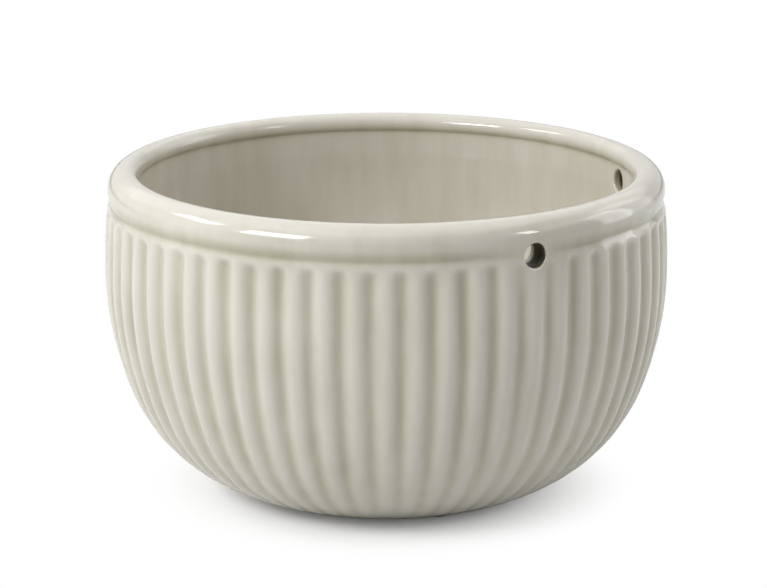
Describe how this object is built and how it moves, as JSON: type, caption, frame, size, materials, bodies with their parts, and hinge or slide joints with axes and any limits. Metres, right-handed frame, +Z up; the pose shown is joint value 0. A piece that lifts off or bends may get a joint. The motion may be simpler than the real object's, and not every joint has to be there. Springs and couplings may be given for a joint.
{
  "type": "wall planter",
  "caption": "Round reeded stoneware bowl planter with a rolled rim, hanging holes pierced through its collar, a lift-out drain plug and small foot pads.",
  "frame": {"origin": "middle of the resting plane, under the foot pads", "axes": "+Z up along the bowl's axis; +Y towards the wall it hangs on, midway between the hanging holes"},
  "size_m": [0.2024, 0.2024, 0.1185],
  "materials": {
    "glaze": "gloss putty glaze",
    "stopper": "matte silicone rubber",
    "pad": "matte"
  },
  "bodies": {
    "bowl": {"bowl": "glaze", "foot_pad_1": "pad", "foot_pad_2": "pad", "foot_pad_3": "pad", "foot_pad_4": "pad"},
    "plug": {"drain_plug": "stopper"}
  },
  "joints": [
    {"name": "plug_lift", "type": "slide", "parent": "bowl", "child": "plug", "axis": [0, 0, 1], "range_m": [0, 0.012]}
  ]
}
